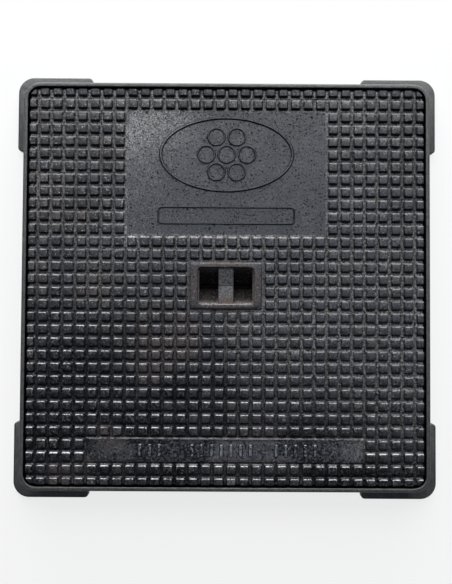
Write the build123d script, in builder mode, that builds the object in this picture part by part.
"""Square access cover and frame for a small cable chamber, cast in ductile iron.

The frame is one casting: a thin upright wall with a ledge inside, and an L-shaped lug at the foot of
each corner that keys it into the mortar. A rubber gasket lies in a groove in the ledge. The cover is one
casting too: a studded plate with a skirt and ribs below, and a blind pocket in its middle. A flat
steel bar, bent to a shallow V and cast in across the pocket, is what a lifting key hooks under.

Millimetres. +Z is up, the origin is the middle of the frame's base, and +Y points to the side of the
cover that carries the nameplate.
"""

import os
from math import ceil

from build123d import *

# ---------------------------------------------------------------- driving sizes
clear_opening = 400.0  # side of the square way through the frame
opening_corner = 8.0
seat_width = 16.5  # ledge that the cover stands on, all round
seat_thickness = 8.0
joint_gap = 2.5  # between the cover's edge and the frame, all round
frame_wall = 4.5
frame_height = 38.0
rim_round = 1.5  # outer top edge of the frame

lug_reach = 16.0  # how far a lug stands out of the frame's wall
lug_length = 84.0  # along each side, from the lug's own outer face
lug_thickness = 8.0
lug_corner = 30.0
lug_end_round = 4.0

cover_corner = 11.0
skirt = 7.0  # thickness of the cover's rim where it stands on the ledge
plate_thickness = 6.0  # under the tread
foot_chamfer = 1.5  # lower outer edge of the skirt

tread_height = 3.5
tread_pitch = 13.65  # one cell of the tread is a stud and half of each groove round it
groove_floor = 3.2
groove_mouth = 5.0

panel_cells = (16, 10)  # columns and rows left plain for the nameplate
panel_first_row = 2  # whole or cut rows between the panel and the +Y edge
strip_cells = (22, 2)  # the marking strip near the -Y edge
strip_rows_below = 2
strip_rise = 0.8  # the strip's face above the groove floor

rib_count = 2  # each way, evenly spaced
rib_thickness = 5.0
rib_clearance = 4.0  # rib feet above the seat plane

pocket_cells = (6, 4)  # size of the plain border round the pocket, in tread cells
pocket_width = 60.5  # along X
pocket_length = 39.0  # along Y
pocket_corner = 3.0
pocket_lip = 4.0  # straight part of the pocket's wall
pocket_depth = 24.0
pocket_floor = 2.0  # width of the bottom of the trough
pocket_wall = 6.0
pocket_base = 4.0  # metal under the trough

bar_width = 16.5
bar_thickness = 8.0
bar_drop = 1.5  # top of the bar below the top of the tread, at its ends
bar_dip = 2.5  # the bar is lower still at its middle
bar_bite = 3.0  # how far each end is held in the pocket's wall
bar_bedding = 3.0  # metal of the pocket's wall under each end

seal_width = 5.0
seal_depth = 3.0
seal_fit = 0.1  # each side of the gasket in its groove

emblem_rise = 1.2
emblem_width = 148.0
emblem_height = 84.0
emblem_offset = 21.0  # centre of the emblem above the centre of the panel
emblem_band = 4.0
core_radius = 10.5  # rings of the emblem, packed like the cores of a cable
core_band = 2.6
core_gap = 1.2
nameplate_width = 150.0
nameplate_height = 20.0
nameplate_corner = 5.0
nameplate_offset = -46.0
nameplate_band = 2.2
mark_height = 14.0  # tally marks on the strip
mark_width = 3.4
mark_pitch = 10.5
mark_rise = 1.2
mark_groups = ((-81.0, 3), (-4.0, 7), (76.0, 5))  # centre of each group and its number of marks

# ---------------------------------------------------------------- derived sizes
frame_inner = clear_opening + 2 * seat_width
frame_outer = frame_inner + 2 * frame_wall
frame_inner_corner = cover_corner + joint_gap
frame_outer_corner = frame_inner_corner + frame_wall
lug_outer = frame_outer + 2 * lug_reach
cover_side = frame_inner - 2 * joint_gap
cover_top = frame_height
tread_floor = cover_top - tread_height
plate_underside = tread_floor - plate_thickness
hollow_side = cover_side - 2 * skirt
rib_pitch = (hollow_side + rib_thickness) / (rib_count + 1)
rib_foot = seat_thickness + rib_clearance
groove_slope = (groove_mouth - groove_floor) / 2
seal_middle = cover_side - skirt  # side of the square down the middle of the skirt and of the gasket
seal_corner = cover_corner - skirt / 2
bar_end = pocket_length / 2 + bar_bite
bar_top = cover_top - bar_drop
bar_outline = [  # seen along X
    (-bar_end, bar_top),
    (0, bar_top - bar_dip),
    (bar_end, bar_top),
    (bar_end, bar_top - bar_thickness),
    (0, bar_top - bar_dip - bar_thickness),
    (-bar_end, bar_top - bar_thickness),
]
tread_cells = 2 * ceil(cover_side / tread_pitch / 2)  # the outer ones are cut by the cover's edge
panel_middle = (tread_cells / 2 - panel_first_row - panel_cells[1] / 2) * tread_pitch
strip_middle = -(tread_cells / 2 - strip_rows_below - strip_cells[1] / 2) * tread_pitch


def trough_outline(half_mouth, half_floor, depth, straight):
    """Corners of a V-shaped trough, seen along X, from the top of the tread down."""
    return [
        (-half_mouth, cover_top),
        (-half_mouth, cover_top - straight),
        (-half_floor, cover_top - depth),
        (half_floor, cover_top - depth),
        (half_mouth, cover_top - straight),
        (half_mouth, cover_top),
    ]


# ---------------------------------------------------------------- frame
with BuildPart() as frame_casting:
    with BuildSketch():
        RectangleRounded(frame_outer, frame_outer, frame_outer_corner)
    extrude(amount=frame_height)
    fillet(frame_casting.faces().sort_by(Axis.Z)[-1].outer_wire().edges(), rim_round)
    with BuildSketch():  # corner lugs: a wider square, cut back to its four corners
        RectangleRounded(lug_outer, lug_outer, lug_corner)
        gap_between_lugs = lug_outer - 2 * lug_length
        Rectangle(gap_between_lugs, lug_outer, mode=Mode.SUBTRACT)
        Rectangle(lug_outer, gap_between_lugs, mode=Mode.SUBTRACT)
        ends = vertices().filter_by(
            lambda v: max(abs(v.X), abs(v.Y)) > lug_outer / 2 - 0.1
            and min(abs(v.X), abs(v.Y)) < gap_between_lugs / 2 + 0.1
        )
        fillet(ends, lug_end_round)
    extrude(amount=lug_thickness)
    with BuildSketch(Plane.XY.offset(seat_thickness)):
        RectangleRounded(frame_inner, frame_inner, frame_inner_corner)
    extrude(amount=frame_height - seat_thickness, mode=Mode.SUBTRACT)
    with BuildSketch():
        RectangleRounded(clear_opening, clear_opening, opening_corner)
    extrude(amount=seat_thickness, mode=Mode.SUBTRACT)
    with BuildSketch(Plane.XY.offset(seat_thickness - seal_depth)):  # groove for the gasket
        side = seal_middle + seal_width
        RectangleRounded(side, side, seal_corner + seal_width / 2)
        side = seal_middle - seal_width
        RectangleRounded(side, side, seal_corner - seal_width / 2, mode=Mode.SUBTRACT)
    extrude(amount=seal_depth, mode=Mode.SUBTRACT)

# ---------------------------------------------------------------- gasket
with BuildPart() as seat_gasket:
    with BuildSketch(Plane.XY.offset(seat_thickness - seal_depth)):
        half = seal_width / 2 - seal_fit
        side = seal_middle + 2 * half
        RectangleRounded(side, side, seal_corner + half)
        side = seal_middle - 2 * half
        RectangleRounded(side, side, seal_corner - half, mode=Mode.SUBTRACT)
    extrude(amount=seal_depth)

# ---------------------------------------------------------------- lifting bar
with BuildPart() as lift_bar:
    with BuildSketch(Plane.YZ):
        with BuildLine():
            Polyline(*bar_outline, close=True)
        make_face()
    extrude(amount=bar_width / 2, both=True)

# ---------------------------------------------------------------- what the tread lacks
# The tread is described by the metal that is missing from a plain top: grooves both ways, and the panel
# and the strip, which are cleared up to the middle lines of the grooves round them.
groove_outline = [
    (-groove_floor / 2, tread_floor),
    (groove_floor / 2, tread_floor),
    (groove_mouth / 2, cover_top),
    (-groove_mouth / 2, cover_top),
]
groove_places = [(row - tread_cells / 2) * tread_pitch for row in range(1, tread_cells)]
groove_taper = Vector(groove_slope, tread_height).get_angle(Vector(0, 1))
missing_metal = []
for plane in (Plane.XZ, Plane.YZ):
    with BuildPart() as grooves:
        with BuildSketch(plane):
            for place in groove_places:
                with BuildLine():
                    Polyline(*[(place + across, up) for across, up in groove_outline], close=True)
                make_face()
        extrude(amount=cover_side / 2, both=True)
        with BuildSketch(Plane.XY.offset(tread_floor)):  # plain border round the pocket
            Rectangle(*[count * tread_pitch - groove_floor for count in pocket_cells])
        extrude(amount=tread_height, taper=groove_taper, mode=Mode.SUBTRACT)
    missing_metal.append(grooves.part)

with BuildPart() as panel_space:
    with BuildSketch(Plane.XY.offset(tread_floor)):
        with Locations((0, panel_middle)):
            Rectangle(*[count * tread_pitch for count in panel_cells])
    extrude(amount=tread_height)
    with BuildSketch(Plane.XY.offset(tread_floor)):  # an oval band round seven rings, and a blank nameplate
        with Locations((0, panel_middle + emblem_offset)):
            Ellipse(emblem_width / 2, emblem_height / 2)
            Ellipse(emblem_width / 2 - emblem_band, emblem_height / 2 - emblem_band, mode=Mode.SUBTRACT)
            for places in (PolarLocations(2 * core_radius + core_gap, 6), Locations((0, 0))):
                with places:
                    Circle(core_radius)
                    Circle(core_radius - core_band, mode=Mode.SUBTRACT)
        with Locations((0, panel_middle + nameplate_offset)):
            RectangleRounded(nameplate_width, nameplate_height, nameplate_corner)
            RectangleRounded(
                nameplate_width - 2 * nameplate_band,
                nameplate_height - 2 * nameplate_band,
                nameplate_corner - nameplate_band,
                mode=Mode.SUBTRACT,
            )
    extrude(amount=emblem_rise, mode=Mode.SUBTRACT)
missing_metal.append(panel_space.part)

with BuildPart() as strip_space:
    with BuildSketch(Plane.XY.offset(tread_floor + strip_rise)):
        with Locations((0, strip_middle)):
            Rectangle(*[count * tread_pitch for count in strip_cells])
    extrude(amount=tread_height - strip_rise)
    with BuildSketch(Plane.XY.offset(tread_floor + strip_rise)):  # tally marks
        for middle, count in mark_groups:
            with Locations((middle, strip_middle)):
                with GridLocations(mark_pitch, 0, count, 1):
                    SlotOverall(mark_height, mark_width, rotation=90)
    extrude(amount=mark_rise, mode=Mode.SUBTRACT)
missing_metal.append(strip_space.part)

# ---------------------------------------------------------------- cover
with BuildPart() as cover_casting:
    with BuildSketch(Plane.XY.offset(seat_thickness)):
        RectangleRounded(cover_side, cover_side, cover_corner)
    extrude(amount=cover_top - seat_thickness)
    chamfer(cover_casting.faces().sort_by(Axis.Z)[0].outer_wire().edges(), foot_chamfer)
    with BuildSketch(Plane.XY.offset(seat_thickness)):
        RectangleRounded(hollow_side, hollow_side, cover_corner - skirt)
    extrude(amount=plate_underside - seat_thickness, mode=Mode.SUBTRACT)
    with BuildSketch(Plane.XY.offset(rib_foot)):
        rib_length = hollow_side + skirt
        with GridLocations(rib_pitch, 0, rib_count, 1):
            Rectangle(rib_thickness, rib_length)
        with GridLocations(0, rib_pitch, 1, rib_count):
            Rectangle(rib_length, rib_thickness)
    extrude(amount=plate_underside - rib_foot)
    with BuildSketch(Plane.YZ):  # outside of the pocket, below the plate
        with BuildLine():
            Polyline(
                *trough_outline(
                    pocket_length / 2 + pocket_wall,
                    pocket_floor / 2 + pocket_wall / 2,
                    pocket_depth + pocket_base,
                    bar_drop + bar_thickness + bar_bedding,
                ),
                close=True,
            )
        make_face()
    extrude(amount=pocket_width / 2 + pocket_wall, both=True)

    # The pocket, and the sockets for the bar's ends.
    with BuildSketch(Plane.XY.offset(cover_top - pocket_lip)):
        RectangleRounded(pocket_width, pocket_length, pocket_corner)
    extrude(amount=pocket_lip, mode=Mode.SUBTRACT)
    with BuildSketch(Plane.YZ):
        with BuildLine():
            Polyline(
                *trough_outline(pocket_length / 2, pocket_floor / 2, pocket_depth, pocket_lip)[1:-1],
                close=True,
            )
        make_face()
    extrude(amount=pocket_width / 2 - pocket_corner, both=True, mode=Mode.SUBTRACT)
    with BuildSketch(Plane.YZ):
        with BuildLine():
            Polyline(*bar_outline, close=True)
        make_face()
    extrude(amount=bar_width / 2, both=True, mode=Mode.SUBTRACT)

    add(missing_metal, mode=Mode.SUBTRACT)

# ---------------------------------------------------------------- write the pieces
os.makedirs("parts", exist_ok=True)
pieces = {
    "frame_casting": frame_casting,
    "seat_gasket": seat_gasket,
    "cover_casting": cover_casting,
    "lift_bar": lift_bar,
}
for name, piece in pieces.items():
    piece.part.label = name
    export_step(piece.part, f"parts/{name}.step")
